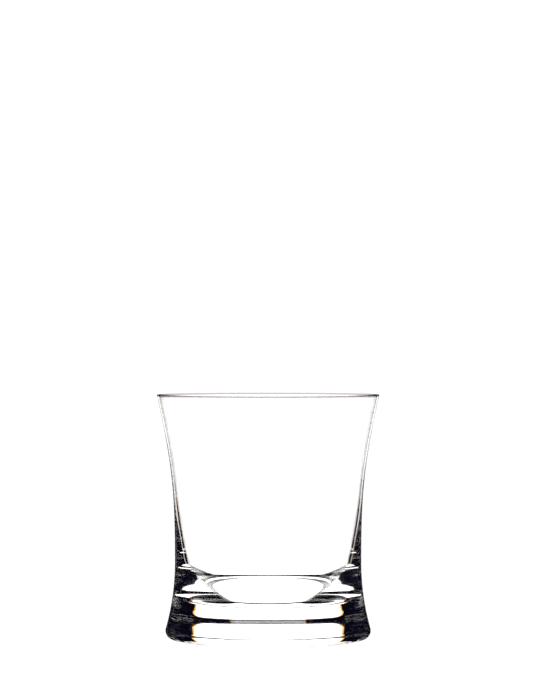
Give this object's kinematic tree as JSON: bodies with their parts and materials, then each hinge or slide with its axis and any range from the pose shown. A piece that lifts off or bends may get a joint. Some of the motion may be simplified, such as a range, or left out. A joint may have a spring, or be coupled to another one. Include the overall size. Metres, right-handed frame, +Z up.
{
  "type": "whiskey tumbler",
  "caption": "Clear glass tumbler with a flared lip, a narrow waist and a heavy solid base, for spirits served over ice.",
  "frame": {"origin": "centre of the plane that the tumbler stands on", "axes": "+Z up along the axis of revolution, from the foot to the lip"},
  "size_m": [0.091, 0.091, 0.1],
  "materials": {
    "bowl_glass": "clear colourless crystal, fire polished and glossy",
    "foot_glass": "clear colourless crystal, solid and glossy"
  },
  "bodies": {
    "root": {"bowl": "bowl_glass", "foot": "foot_glass"}
  },
  "joints": []
}
